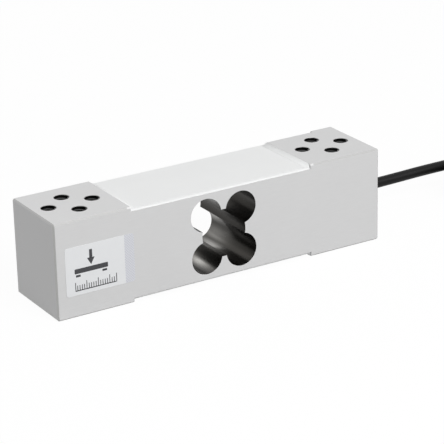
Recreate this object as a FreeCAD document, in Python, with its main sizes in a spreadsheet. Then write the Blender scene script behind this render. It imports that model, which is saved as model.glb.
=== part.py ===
import FreeCAD, Part
import math
import os
import re

import Sketcher
from FreeCAD import Rotation, Vector

# Single point load cell: one aluminium block with a four-lobed cut-out that leaves two thin
# flexures over it and two under it, strain gauges on the flexures, a compensation board in a
# rear pocket, white silicone over all of it, and a shielded lead that ends in bare cores.
# Millimetres. +X runs along the beam to the cable end, +Z is up, and the origin is the middle
# of the underside. The front face, with the label, looks along -Y.

SIZES = {
    # the machined block
    "beam_length": 150,
    "beam_width": 35,
    "beam_height": 40,
    "edge_chamfer": 0.6,
    "end_block_length": 33.5,
    "recess_depth": 2,
    # the four-lobed opening
    "opening_bore_radius": 10,
    "lobe_radius": 7,
    "lobe_offset_along": 8,
    "flexure_thickness": 2,
    # the tapped holes: a diamond of four at each end, drilled through, tapped above and below
    "tap_drill_radius": 2.5,
    "tapped_hole_radius": 3,
    "tapped_hole_depth": 15,
    "countersink_radius": 3.25,
    "bolt_group_from_end": 16.5,
    "bolt_pitch_along": 19,
    "bolt_pitch_across": 15,
    # the rear wiring channel and the deeper pocket in it
    "channel_length": 40.5,
    "channel_depth": 2,
    "end_wall": 10.5,
    "pocket_length": 36.5,
    "pocket_height": 27.5,
    "pocket_depth": 6.2,
    "pocket_corner": 1.2,
    # the silicone
    "potting_thickness": 0.9,
    "potting_inset": 0.5,
    "potting_edge_radius": 0.7,
    "rear_potting_inset": 0.3,
    # the strain gauges
    "carrier_length": 9,
    "carrier_width": 6,
    "carrier_thickness": 0.1,
    "foil_thickness": 0.05,
    "strand_length": 3.6,
    "strand_width": 0.28,
    "strand_pitch": 0.45,
    "strand_pairs": 4,
    "tab_length": 1.5,
    "tab_width": 1.2,
    # the solder strips between the gauges, their jumpers and the flat leads to the board
    "strip_length": 5,
    "strip_width": 10,
    "strip_thickness": 0.15,
    "strip_joint_along": 1.6,
    "jumper_radius": 0.08,
    "joint_radius": 0.42,
    "joint_height": 0.32,
    "ribbon_width": 2.4,
    "ribbon_thickness": 0.4,
    "ribbon_lift": 0.2,
    "ribbon_track": 5.6,
    "ribbon_bend": 0.6,
    "ribbon_from_board_end": 4.5,
    # the compensation board
    "board_from_pocket_end": 2,
    "board_length": 22,
    "board_height": 20,
    "board_thickness": 1,
    "component_length": 3.2,
    "component_width": 1.6,
    "component_height": 0.6,
    "component_spread": 5,
    "pad_joint_radius": 0.85,
    "pad_joint_height": 1.3,
    "pad_pitch": 2.6,
    # the lead
    "cable_radius": 2.3,
    "cable_bore_clearance": 0.1,
    "cable_from_rear": 3.3,
    "cable_above_pocket_edge": 4.15,
    "cable_inside": 18,
    "cable_straight_out": 3,
    "cable_drift": 1.8,
    "cable_last_run": 15,
    "ferrule_wall": 0.5,
    "ferrule_length": 5,
    "core_radius": 0.4,
    "core_bundle_radius": 1,
    "tinned_radius": 0.25,
    "tinned_length": 5,
    "sleeve_wall": 0.4,
    "sleeve_overhang": 3,
    # the hank of the stored length and the loose end on top of it
    "hank_from_beam": 73,
    "hank_run": 92,
    "hank_fold_radius": 14,
    "hank_columns": 2,
    "hank_layers": 3,
    "hank_corner": 1.5,
    "hank_lead_in": 14.5,
    "tie_thickness": 0.5,
    "tie_width": 8,
    "tail_clearance": 0.1,
    "tail_outside_fold": 0.6,
    "core_fan_reach": 12,
    "core_fan_width": 12,
    "core_fan_turn": 7,
    "core_stagger": 2,
    # the identification label
    "label_length": 30,
    "label_height": 20,
    "label_thickness": 0.1,
    "label_corner": 1,
    "label_from_end": 4.2,
    "label_up": 9.2,
}

doc = FreeCAD.newDocument("single_point_load_cell")
sheet = doc.addObject("Spreadsheet::Sheet", "Sizes")
for row, (alias, number) in enumerate(SIZES.items(), start=1):
    sheet.set(f"A{row}", alias)
    sheet.set(f"B{row}", str(number))
    sheet.setAlias(f"B{row}", alias)
doc.recompute()

nodes = []


# ---- helpers -----------------------------------------------------------------------------


def rule(words):
    """An expression on the spreadsheet, from words that use its aliases."""
    return re.sub(r"[a-z_]+", lambda m: f"Sizes.{m[0]}" if m[0] in SIZES else m[0], words)


def value(words):
    """What such an expression comes to now."""
    return float(sheet.evalExpression(rule(words)))


def bind(thing, **rules):
    """Ties properties to the sheet; a double underscore stands for a dot in the path."""
    for path, words in rules.items():
        thing.setExpression(path.replace("__", "."), rule(words))
    return thing


def place(thing, along="0", across="0", up="0"):
    return bind(thing, Placement__Base__x=along, Placement__Base__y=across, Placement__Base__z=up)


def keep(thing, label):
    """Names a finished sub-part, which is written to a file of that name."""
    thing.Label = label
    nodes.append(thing)
    return thing


def new_body(name):
    return doc.addObject("PartDesign::Body", name)


def origin_plane(body, role):
    return next(f for f in body.Origin.OriginFeatures if f.Role == role)


def sketch_on(body, name, role, lift="0"):
    """A sketch on one of the body's own origin planes, lifted along its normal."""
    sketch = body.newObject("Sketcher::SketchObject", f"{body.Name}_{name}")
    sketch.AttachmentSupport = [(origin_plane(body, role), "")]
    sketch.MapMode = "FlatFace"
    return bind(sketch, AttachmentOffset__Base__z=lift)


def pin_point(sketch, geometry, end, place_rules):
    """Fixes a point of the sketch to its place, each coordinate tied to the sheet."""
    for kind, words in zip(("DistanceX", "DistanceY"), place_rules):
        number = sketch.addConstraint(
            Sketcher.Constraint(kind, -1, 1, geometry, end, value(words))
        )
        sketch.renameConstraint(number, f"{kind}_{geometry}")
        sketch.setExpression(f"Constraints.{kind}_{geometry}", rule(words))


def outline(sketch, corners):
    """A closed outline of straight lines through corners given as pairs of rules."""
    points = [Vector(value(x), value(y), 0) for x, y in corners]
    first = sketch.GeometryCount
    count = len(points)
    for i in range(count):
        sketch.addGeometry(Part.LineSegment(points[i], points[(i + 1) % count]), False)
    for i in range(count):
        following = first + (i + 1) % count
        sketch.addConstraint(Sketcher.Constraint("Coincident", first + i, 2, following, 1))
    for i, corner in enumerate(corners):
        pin_point(sketch, first + i, 1, corner)
    return sketch


def rectangle(sketch, left, right, low, high):
    return outline(sketch, [(left, low), (right, low), (right, high), (left, high)])


def circle(sketch, x, y, radius):
    centre = Vector(value(x), value(y), 0)
    number = sketch.addGeometry(Part.Circle(centre, Vector(0, 0, 1), value(radius)), False)
    pin_point(sketch, number, 3, (x, y))
    size = sketch.addConstraint(Sketcher.Constraint("Radius", number, value(radius)))
    sketch.renameConstraint(size, f"Radius_{number}")
    sketch.setExpression(f"Constraints.Radius_{number}", rule(radius))
    return sketch


def pad(body, sketch, length, **settings):
    feature = body.newObject("PartDesign::Pad", f"{sketch.Name}_pad")
    feature.Profile = sketch
    bind(feature, Length=length)
    for name, setting in settings.items():
        setattr(feature, name, setting)
    doc.recompute()
    return feature


def pocket(body, sketch, depth=None, **settings):
    """Cuts a sketch into the body: to a depth, or right through both ways without one."""
    before = body.Shape.Volume
    feature = body.newObject("PartDesign::Pocket", f"{sketch.Name}_pocket")
    feature.Profile = sketch
    if depth is None:
        feature.Type = "ThroughAll"
        feature.Midplane = True
    else:
        bind(feature, Length=depth)
    for name, setting in settings.items():
        setattr(feature, name, setting)
    doc.recompute()
    if feature.Shape.Volume >= before:
        raise RuntimeError(f"{feature.Name} cuts nothing")
    return feature


def mirrored(body, feature, role):
    pattern = body.newObject("PartDesign::Mirrored", f"{feature.Name}_mirrored")
    pattern.Originals = [feature]
    pattern.MirrorPlane = (origin_plane(body, role), [""])
    body.Tip = pattern
    doc.recompute()
    return pattern


def edges_where(feature, test):
    """The names of the feature's edges of which both ends and the middle pass a test."""
    names = []
    for number, edge in enumerate(feature.Shape.Edges, start=1):
        middle = edge.valueAt((edge.FirstParameter + edge.LastParameter) / 2)
        if all(test(point) for point in [vertex.Point for vertex in edge.Vertexes] + [middle]):
            names.append(f"Edge{number}")
    return names


def dress(body, kind, feature, names, **rules):
    """A Fillet or Chamfer on named edges of the last feature."""
    finish = body.newObject(f"PartDesign::{kind}", f"{feature.Name}_{kind.lower()}")
    finish.Base = (feature, names)
    bind(finish, **rules)
    doc.recompute()
    return finish


def near(a, b):
    return abs(a - b) < 1e-4


def cut_out(block, pieces, name):
    """The block less each piece in turn."""
    for number, piece in enumerate(pieces, start=1):
        cut = doc.addObject("Part::Cut", f"{name}_less_{number}")
        cut.Base = block
        cut.Tool = piece
        block = cut
    return block


def group(parts, name):
    """Separate like solids that are kept together as one sub-part."""
    together = doc.addObject("Part::Compound", name)
    together.Links = parts
    return together


def cylinder(name, radius, length):
    return bind(doc.addObject("Part::Cylinder", name), Radius=radius, Height=length)


def box(name, length, width, height):
    return bind(doc.addObject("Part::Box", name), Length=length, Width=width, Height=height)


def turn(thing, axis, degrees):
    thing.Placement.Rotation = Rotation(Vector(*axis), degrees)
    return thing


def feature_of(shape, name):
    feature = doc.addObject("Part::Feature", name)
    feature.Shape = shape
    return feature


def rounded_path(points, name=None, radius=None):
    """Straight runs joined by tangent arcs, each as large as its two runs allow."""
    edges = []
    start = points[0]
    radii = []
    for before, corner, after in zip(points, points[1:], points[2:]):
        into, out = corner - before, after - corner
        half_turn = into.getAngle(out) / 2
        reach = 0.45 * min(into.Length, out.Length)
        if radius is not None:
            reach = min(reach, radius * math.tan(half_turn))
        radii.append(reach / math.tan(half_turn))
        into.normalize()
        out.normalize()
        first, last = corner - into * reach, corner + out * reach
        rise = radii[-1] * (1 / math.cos(half_turn) - 1)
        middle = corner + (out - into).normalize() * rise
        edges.append(Part.LineSegment(start, first).toShape())
        edges.append(Part.Arc(first, middle, last).toShape())
        start = last
    edges.append(Part.LineSegment(start, points[-1]).toShape())
    path = Part.Wire(edges)
    if name:
        print(f"{name}: {path.Length:.1f} mm, radii " + " ".join(f"{r:.1f}" for r in radii))
    return path


def tube(path, radius):
    """A round solid swept along a path, its volume checked against section times length."""
    start = path.Edges[0].valueAt(path.Edges[0].FirstParameter)
    heading = path.Edges[0].tangentAt(path.Edges[0].FirstParameter)
    section = Part.Wire(Part.Circle(start, heading, radius).toShape())
    solid = path.makePipeShell([section], True, False)
    expected = math.pi * radius**2 * path.Length
    if abs(solid.Volume - expected) > 0.01 * expected:
        raise RuntimeError(f"a tube holds {solid.Volume:.1f} and should hold {expected:.1f}")
    return solid


# ---- the machined block ------------------------------------------------------------------

RECESS_END = "beam_length / 2 - end_block_length"
CHANNEL_END = "beam_length / 2 - end_wall"
CHANNEL_START = f"{CHANNEL_END} - channel_length"
POCKET_START = f"{CHANNEL_END} - pocket_length"
MID_HEIGHT = "beam_height / 2"
LOBE_UP = f"{MID_HEIGHT} - recess_depth - flexure_thickness - lobe_radius"
BOLT_CENTRE = "beam_length / 2 - bolt_group_from_end"
BOARD_FLOOR = "beam_width / 2 - pocket_depth"
BOARD_FACE = f"{BOARD_FLOOR} + board_thickness"
BOARD_START = f"{POCKET_START} + board_from_pocket_end"
CABLE_ACROSS = "beam_width / 2 - cable_from_rear"
CABLE_UP = f"{MID_HEIGHT} - pocket_height / 2 + cable_above_pocket_edge"
OVERRUN = 1  # how far a drill runs on past the wall that it opens


def diamond(sketch, radius):
    """Four circles, two along the beam and two across it, at the cable end."""
    for side in (-1, 1):
        circle(sketch, f"{BOLT_CENTRE} + {side} * bolt_pitch_along / 2", "0", radius)
        circle(sketch, BOLT_CENTRE, f"{side} * bolt_pitch_across / 2", radius)
    return sketch


def tap_holes(body, name, lift, upwards):
    """The tapped mouths of the four drilled holes, and their mirror image at the free end."""
    sketch = diamond(sketch_on(body, name, "XY_Plane", lift), "tapped_hole_radius")
    doc.recompute()
    hole = body.newObject("PartDesign::Hole", f"{name}_hole")
    hole.Profile = sketch
    hole.DepthType = "Dimension"
    hole.Threaded = False
    hole.HoleCutType = "Countersink"
    hole.HoleCutCustomValues = True
    hole.DrillPoint = "Angled"
    hole.Reversed = upwards
    bind(hole, Diameter="2 * tapped_hole_radius", Depth="tapped_hole_depth")
    bind(hole, HoleCutDiameter="2 * countersink_radius")
    doc.recompute()
    return mirrored(body, hole, "YZ_Plane")


def build_beam():
    body = new_body("load_cell_beam")
    blank = sketch_on(body, "blank", "XY_Plane")
    rectangle(blank, "-beam_length / 2", "beam_length / 2", "-beam_width / 2", "beam_width / 2")
    block = pad(body, blank, "beam_height")
    dress(body, "Chamfer", block, edges_where(block, lambda p: True), Size="edge_chamfer")

    for name, low, high in (
        ("top_recess", "beam_height - recess_depth", "beam_height"),
        ("bottom_recess", "0", "recess_depth"),
    ):
        sketch = sketch_on(body, name, "XZ_Plane")
        rectangle(sketch, f"-({RECESS_END})", RECESS_END, low, high)
        pocket(body, sketch)

    bore = sketch_on(body, "opening_bore", "XZ_Plane")
    pocket(body, circle(bore, "0", MID_HEIGHT, "opening_bore_radius"))
    lobes = sketch_on(body, "opening_lobes", "XZ_Plane")
    for along in (-1, 1):
        for up in (-1, 1):
            centre = (f"{along} * lobe_offset_along", f"{MID_HEIGHT} + {up} * ({LOBE_UP})")
            circle(lobes, *centre, "lobe_radius")
    pocket(body, lobes)

    # The sketch plane's normal points to the front, so a cut into the rear face runs along it.
    channel = sketch_on(body, "wiring_channel", "XZ_Plane", "-beam_width / 2")
    rectangle(channel, CHANNEL_START, CHANNEL_END, "0", "beam_height")
    pocket(body, channel, "channel_depth", Reversed=True)
    deep = sketch_on(body, "board_pocket", "XZ_Plane", "-beam_width / 2")
    low, high = (f"{MID_HEIGHT} {sign} pocket_height / 2" for sign in "-+")
    rectangle(deep, POCKET_START, CHANNEL_END, low, high)
    milled = pocket(body, deep, "pocket_depth", Reversed=True)
    floor, rim = (value(f"beam_width / 2 - {depth}") for depth in ("pocket_depth", "channel_depth"))
    upright = edges_where(
        milled,
        lambda p: floor - 1e-4 < p.y < rim + 1e-4
        and (near(p.x, value(POCKET_START)) or near(p.x, value(CHANNEL_END)))
        and (near(p.z, value(low)) or near(p.z, value(high))),
    )
    dress(body, "Fillet", milled, upright, Radius="pocket_corner")

    entry = sketch_on(body, "cable_bore", "YZ_Plane", "beam_length / 2")
    circle(entry, CABLE_ACROSS, CABLE_UP, "cable_radius + cable_bore_clearance")
    pocket(body, entry, f"end_wall + {OVERRUN}")

    drilled = pocket(body, diamond(sketch_on(body, "tap_drills", "XY_Plane"), "tap_drill_radius"))
    mirrored(body, drilled, "YZ_Plane")
    tap_holes(body, "top_tapped", "beam_height", False)
    tap_holes(body, "bottom_tapped", "0", True)
    return keep(body, "load_cell_beam")


# ---- strain gauges -----------------------------------------------------------------------

# A side is the face of the flexures that it lies on, and an end is the side of the opening.
SIDES = {"top": ("beam_height - recess_depth", 1), "bottom": ("recess_depth", -1)}
ENDS = {"cable_end": 1, "free_end": -1}


def stand_on_side(thing, side, end, along, across="0", height="0"):
    """Puts a piece that is made facing up onto a flexure, turned to suit its side and end."""
    floor, upwards = SIDES[side]
    place(thing, f"{end} * ({along})", across, f"{floor} + {upwards} * ({height})")
    flip = Rotation(Vector(1, 0, 0), 0 if upwards > 0 else 180)
    thing.Placement.Rotation = Rotation(Vector(0, 0, 1), 0 if end > 0 else 180) * flip
    return thing


def build_carrier(side, end_name):
    body = new_body(f"gauge_carrier_{side}_{end_name}")
    sheet_sketch = sketch_on(body, "film", "XY_Plane")
    half_long, half_wide = "carrier_length / 2", "carrier_width / 2"
    rectangle(sheet_sketch, f"-{half_long}", half_long, f"-{half_wide}", half_wide)
    pad(body, sheet_sketch, "carrier_thickness")
    stand_on_side(body, side, ENDS[end_name], "lobe_offset_along")
    return keep(body, body.Name)


def build_grid(side, end_name):
    """The etched foil: pairs of strands joined into one zigzag, and a solder tab on each end."""
    body = new_body(f"gauge_grid_{side}_{end_name}")
    near_end, far_end = "-strand_length / 2 + tab_length / 2", "strand_length / 2 + tab_length / 2"
    start = "-strand_pairs * strand_pitch - strand_width / 2 + strand_pitch / 2"
    second = f"{start} + strand_pitch"
    fold = sketch_on(body, "fold", "XY_Plane")
    outline(
        fold,
        [
            (near_end, start),
            (far_end, start),
            (far_end, f"{second} + strand_width"),
            (f"{near_end} + strand_width", f"{second} + strand_width"),
            (f"{near_end} + strand_width", f"{second} + strand_pitch"),
            (near_end, f"{second} + strand_pitch"),
            (near_end, second),
            (f"{far_end} - strand_width", second),
            (f"{far_end} - strand_width", f"{start} + strand_width"),
            (near_end, f"{start} + strand_width"),
        ],
    )
    strand = pad(body, fold, "foil_thickness")
    pattern = body.newObject("PartDesign::LinearPattern", f"{body.Name}_folds")
    pattern.Originals = [strand]
    pattern.Direction = (fold, ["V_Axis"])
    bind(pattern, Length="2 * strand_pitch * (strand_pairs - 1)", Occurrences="strand_pairs")
    body.Tip = pattern
    doc.recompute()
    edge = "strand_pairs * strand_pitch + strand_pitch / 2 - strand_width / 2"
    tabs = sketch_on(body, "tabs", "XY_Plane")
    inner_tab = f"{near_end} - tab_length"
    rectangle(tabs, inner_tab, near_end, f"-({edge})", f"-({edge}) + tab_width")
    rectangle(tabs, inner_tab, f"{near_end} + strand_width", f"{edge} - tab_width", edge)
    pad(body, tabs, "foil_thickness")
    stand_on_side(body, side, ENDS[end_name], "lobe_offset_along", height="carrier_thickness")
    return keep(body, body.Name)


# ---- solder strips, jumpers and flat leads --------------------------------------------------

TAB_ALONG = "lobe_offset_along - strand_length / 2"
TAB_ACROSS = "strand_pairs * strand_pitch + strand_pitch / 2 - strand_width / 2 - tab_width / 2"
JUMPER_HEIGHT = "carrier_thickness + foil_thickness + jumper_radius * 2"


def build_strip(side):
    body = new_body(f"solder_strip_{side}")
    sketch = sketch_on(body, "base", "XY_Plane")
    half_long, half_wide = "strip_length / 2", "strip_width / 2"
    rectangle(sketch, f"-{half_long}", half_long, f"-{half_wide}", half_wide)
    pad(body, sketch, "strip_thickness")
    stand_on_side(body, side, 1, "0")
    return keep(body, body.Name)


def build_jumpers(side):
    """Four fine wires, one from each gauge tab to the strip between the gauges."""
    wires = []
    for end_name, end in ENDS.items():
        for across in (-1, 1):
            wire = cylinder(
                f"jumper_{side}_{end_name}_{len(wires)}",
                "jumper_radius",
                f"{TAB_ALONG} - strip_joint_along",
            )
            floor, upwards = SIDES[side]
            place(
                wire,
                f"{end} * strip_joint_along",
                f"{across} * ({TAB_ACROSS})",
                f"{floor} + {upwards} * ({JUMPER_HEIGHT})",
            )
            turn(wire, (0, 1, 0), 90 * end)
            wires.append(wire)
    return keep(group(wires, f"jumper_wires_{side}"), f"jumper_wires_{side}")


def build_gauge_joints(side, jumpers):
    """Solder on each gauge tab and on the strip, with the jumper ends buried in it."""
    joints = []
    for end_name, end in ENDS.items():
        for across in (-1, 1):
            for spot, along, seat in (
                ("tab", TAB_ALONG, "carrier_thickness + foil_thickness"),
                ("strip", "strip_joint_along", "strip_thickness"),
            ):
                joint = doc.addObject("Part::Cone", f"joint_{side}_{end_name}_{spot}")
                bind(joint, Radius1="joint_radius", Radius2="joint_radius / 2")
                bind(joint, Height="joint_height")
                stand_on_side(joint, side, end, along, f"{across} * ({TAB_ACROSS})", seat)
                joints.append(joint)
    solder = cut_out(group(joints, f"joints_{side}"), [jumpers], f"gauge_solder_{side}")
    return keep(solder, f"gauge_solder_{side}")


def build_flat_lead(side):
    """A flat lead from the strip, along the flexure and over the rear edge to the board."""
    floor, upwards = SIDES[side]
    half_wide, half_thick = value("ribbon_width / 2"), value("ribbon_thickness / 2")
    standing = value("ribbon_lift") + half_thick
    level = value(floor) + upwards * standing
    start, track = value("-strip_length / 2"), value("ribbon_track")
    drop = value(f"{BOARD_START} + ribbon_from_board_end")
    along_run = Part.makeBox(
        drop + half_wide - start,
        2 * half_wide,
        2 * half_thick,
        Vector(start, track - half_wide, level - half_thick),
    )
    rear = value("beam_width / 2 - channel_depth") + standing
    on_board = value(BOARD_FACE) + standing
    lip = value(f"{MID_HEIGHT} + {upwards} * pocket_height / 2 - {upwards} * ribbon_bend")
    end = value(f"{MID_HEIGHT} + {upwards} * (board_height / 2 - pad_pitch)")
    points = [
        Vector(drop, track + half_wide, level),
        Vector(drop, rear, level),
        Vector(drop, rear, lip),
        Vector(drop, on_board, lip - upwards * (rear - on_board)),
        Vector(drop, on_board, end),
    ]
    corners = [
        points[0] + Vector(i * half_wide, 0, j * half_thick)
        for i, j in ((-1, -1), (1, -1), (1, 1), (-1, 1), (-1, -1))
    ]
    path = rounded_path(points, radius=value("ribbon_bend"))
    over_edge = path.makePipeShell([Part.makePolygon(corners)], True, False)
    return keep(feature_of(along_run.fuse(over_edge), f"flat_lead_{side}"), f"flat_lead_{side}")


# ---- the compensation board --------------------------------------------------------------

# The four cores of the cable, anticlockwise from its upper rear, each with its pad on the
# board, counted from the lowest. This order keeps them from crossing each other.
CORES = {"red": 3, "black": 2, "green": 0, "white": 1}
PAD_ALONG = f"{BOARD_START} + board_length - pad_joint_radius * 2"


def core_pad_up(number):
    return f"{MID_HEIGHT} - board_height / 2 + pad_pitch * ({number} + 1)"


def build_board():
    board = box("compensation_board", "board_length", "board_thickness", "board_height")
    place(board, BOARD_START, BOARD_FLOOR, f"{MID_HEIGHT} - board_height / 2")
    return keep(board, "compensation_board")


def build_components():
    """The trimming parts of the bridge, soldered flat on the board in a column."""
    components = []
    for number, label in enumerate(("span_resistor", "zero_trim_resistor", "nickel_compensator")):
        part = box(label, "component_length", "component_height", "component_width")
        middle = f"{BOARD_START} + board_length / 2 - component_length / 2"
        up = f"{MID_HEIGHT} + ({number} - 1) * component_spread - component_width / 2"
        place(part, middle, BOARD_FACE, up)
        components.append(keep(part, label))
    return components


def build_inner_cores():
    """The four insulated cores, fanned from the end of the sheath to the board's pads."""
    cores = []
    sheath_end = value("beam_length / 2 - cable_inside")
    for number, (name, pad_number) in enumerate(CORES.items()):
        angle = math.radians(45 + 90 * number)
        around = value("core_bundle_radius")
        across = value(CABLE_ACROSS) + around * math.cos(angle)
        up = value(CABLE_UP) + around * math.sin(angle)
        pad_along, pad_up = value(PAD_ALONG), value(core_pad_up(pad_number))
        level = value(f"{BOARD_FACE} + pad_joint_height / 2")
        gap = sheath_end - pad_along
        points = [
            Vector(sheath_end, across, up),
            Vector(sheath_end - gap * 0.3, across, up),
            Vector(pad_along + gap * 0.3, level, pad_up),
            Vector(pad_along, level, pad_up),
        ]
        core = feature_of(tube(rounded_path(points), value("core_radius")), f"inner_core_{name}")
        cores.append(keep(core, f"inner_core_{name}"))
    return cores


def build_board_solder(cores):
    joints = []
    for number in CORES.values():
        joint = doc.addObject("Part::Cone", f"pad_joint_{number}")
        bind(joint, Radius1="pad_joint_radius", Radius2="pad_joint_radius * 0.8")
        bind(joint, Height="pad_joint_height")
        place(joint, PAD_ALONG, BOARD_FACE, core_pad_up(number))
        turn(joint, (1, 0, 0), -90)
        joints.append(joint)
    solder = cut_out(group(joints, "pad_joints"), cores, "board_solder")
    return keep(solder, "board_solder")


# ---- the silicone ------------------------------------------------------------------------


def build_face_potting(side, buried):
    """The white layer in a shallow recess, its long edges rounded by the pour."""
    body = new_body(f"{side}_silicone")
    sketch = sketch_on(body, "layer", "XY_Plane")
    half_wide = "beam_width / 2 - potting_inset"
    rectangle(sketch, f"-({RECESS_END})", RECESS_END, f"-({half_wide})", half_wide)
    layer = pad(body, sketch, "potting_thickness")
    rounded = edges_where(
        layer,
        lambda p: near(p.z, value("potting_thickness")) and near(abs(p.y), value(half_wide)),
    )
    dress(body, "Fillet", layer, rounded, Radius="potting_edge_radius")
    stand_on_side(body, side, 1, "0")
    return keep(cut_out(body, buried, f"{side}_potting"), f"{side}_potting")


def build_rear_potting(buried):
    """The white filling of the wiring channel and of the pocket in it."""
    body = new_body("rear_silicone")
    surface = "-(beam_width / 2 - rear_potting_inset)"
    channel = sketch_on(body, "channel_fill", "XZ_Plane", surface)
    low, high = "recess_depth", "beam_height - recess_depth"
    rectangle(channel, CHANNEL_START, CHANNEL_END, low, high)
    pad(body, channel, "channel_depth - rear_potting_inset")
    fill = sketch_on(body, "pocket_fill", "XZ_Plane", surface)
    low, high = (f"{MID_HEIGHT} {sign} pocket_height / 2" for sign in "-+")
    rectangle(fill, POCKET_START, CHANNEL_END, low, high)
    deep = pad(body, fill, "pocket_depth - rear_potting_inset")
    floor, rim = (value(f"beam_width / 2 - {depth}") for depth in ("pocket_depth", "channel_depth"))
    upright = edges_where(
        deep,
        lambda p: floor - 1e-4 < p.y < rim + 1e-4
        and (near(p.x, value(POCKET_START)) or near(p.x, value(CHANNEL_END)))
        and (near(p.z, value(low)) or near(p.z, value(high))),
    )
    dress(body, "Fillet", deep, upright, Radius="pocket_corner")
    return keep(cut_out(body, buried, "rear_potting"), "rear_potting")


# ---- the lead ----------------------------------------------------------------------------


HANK_START = "beam_length / 2 + hank_from_beam"
OUTER_TURN = "hank_fold_radius + 2 * (hank_columns - 1) * cable_radius"
HANK_ACROSS = f"{CABLE_ACROSS} - cable_drift - ({OUTER_TURN})"
TOP_LAYER = "tie_thickness + (2 * hank_layers - 1) * cable_radius"
HANK_TOP = "tie_thickness + 2 * hank_layers * cable_radius"
LYING = f"{HANK_TOP} + tie_thickness + tail_clearance"


def on_hank(along, across, up):
    """A point reckoned from the middle of the hank's fold that is nearer the block."""
    return Vector(value(HANK_START) + along, value(HANK_ACROSS) + across, up)


def build_cable_lead():
    """From inside the pocket, through the end wall and straight out to the hank."""
    across, up = value(CABLE_ACROSS), value(CABLE_UP)
    entry = on_hank(-value("hank_lead_in"), value(OUTER_TURN), value(TOP_LAYER))
    points = [
        Vector(value("beam_length / 2 - cable_inside"), across, up),
        Vector(value("beam_length / 2 + cable_straight_out"), across, up),
        entry - Vector(value("cable_last_run"), 0, 0),
        entry,
    ]
    solid = tube(rounded_path(points, "cable_lead"), value("cable_radius"))
    return keep(feature_of(solid, "cable_lead"), "cable_lead"), entry


def racetrack(radius, up):
    """The line of a turn of the hank: two straight runs and a half circle at each end."""
    run = value("hank_run")
    near_fold = [on_hank(*spot, up) for spot in ((0, -radius), (-radius, 0), (0, radius))]
    far_fold = [on_hank(run + x, y, up) for x, y in ((0, radius), (radius, 0), (0, -radius))]
    edges = [
        Part.Arc(*near_fold),
        Part.LineSegment(near_fold[-1], far_fold[0]),
        Part.Arc(*far_fold),
        Part.LineSegment(far_fold[-1], near_fold[0]),
    ]
    return Part.Wire([edge.toShape() for edge in edges])


def build_hank(meet):
    """The outer shape of the wound turns, and the start of the turn that the lead joins."""
    radius, floor = value("cable_radius"), value("tie_thickness")
    inner, outer = value("hank_fold_radius") - radius, value(OUTER_TURN) + radius
    face = Part.Face(racetrack(outer, floor)).cut(Part.Face(racetrack(inner, floor)))
    ring = face.extrude(Vector(0, 0, value(HANK_TOP) - floor))
    rims = [edge for edge in ring.Edges if edge.BoundBox.ZLength < 1e-6]
    ring = ring.makeFillet(value("hank_corner"), rims)
    start = Part.makeCylinder(radius, value("hank_lead_in"), meet, Vector(1, 0, 0))
    return keep(feature_of(ring.fuse(start), "cable_hank"), "cable_hank")


def build_hank_tie():
    """A hook-and-loop strap round the middle of the hank."""
    bands = []
    for grown in (value("tie_thickness"), 0):
        half_wide = value(OUTER_TURN) + value("cable_radius") + grown
        corner = on_hank(
            value("hank_run / 2 - tie_width / 2"), -half_wide, value("tie_thickness") - grown
        )
        high = value(f"{HANK_TOP} - tie_thickness") + 2 * grown
        block = Part.makeBox(value("tie_width"), 2 * half_wide, high, corner)
        long_edges = [e for e in block.Edges if e.BoundBox.XLength > value("tie_width / 2")]
        bands.append(block.makeFillet(value("hank_corner") + grown, long_edges))
    return keep(feature_of(bands[0].cut(bands[1]), "hank_tie"), "hank_tie")


def build_tail(hank):
    """The end of the lead: sheath, shrink sleeve and bare-ended cores, lying on the hank."""
    radius = value("cable_radius")
    inner_turn, level, lying = (value(w) for w in ("hank_fold_radius", TOP_LAYER, LYING))
    lying += radius
    points = [
        on_hank(44, -inner_turn, level),
        on_hank(33, -inner_turn, level),
        on_hank(14, -inner_turn - 2, lying),
    ]
    # Round the near fold, on top of it, and out along the other run.
    fold = inner_turn + radius + value("tail_outside_fold")
    for degrees in range(-90, -300, -30):
        across = math.radians(degrees)
        points.append(on_hank(fold * math.cos(across), fold * math.sin(across), lying))
    points += [
        on_hank(14, inner_turn + 2.4, lying),
        on_hank(31, inner_turn + 2.8, lying),
        on_hank(48, inner_turn + 2.3, lying),
        on_hank(64, inner_turn + 2.6, lying),
        on_hank(80, inner_turn + 1.4, lying),
    ]
    path = rounded_path(points, "cable_tail")
    sheath = tube(path, radius).cut(hank.Shape)
    keep(feature_of(sheath, "cable_tail"), "cable_tail")

    last_run = path.Edges[-1]
    end = points[-1]
    heading = (end - points[-2]).normalize()
    mouth = end + heading * value("sleeve_overhang")
    run_start = last_run.valueAt(last_run.FirstParameter)
    covered = Part.Wire([Part.LineSegment(run_start, mouth).toShape()])
    sleeve = tube(covered, radius + value("sleeve_wall")).cut(tube(covered, radius))
    keep(feature_of(sleeve, "tail_sleeve"), "tail_sleeve")
    build_tail_cores(end, heading)


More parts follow.
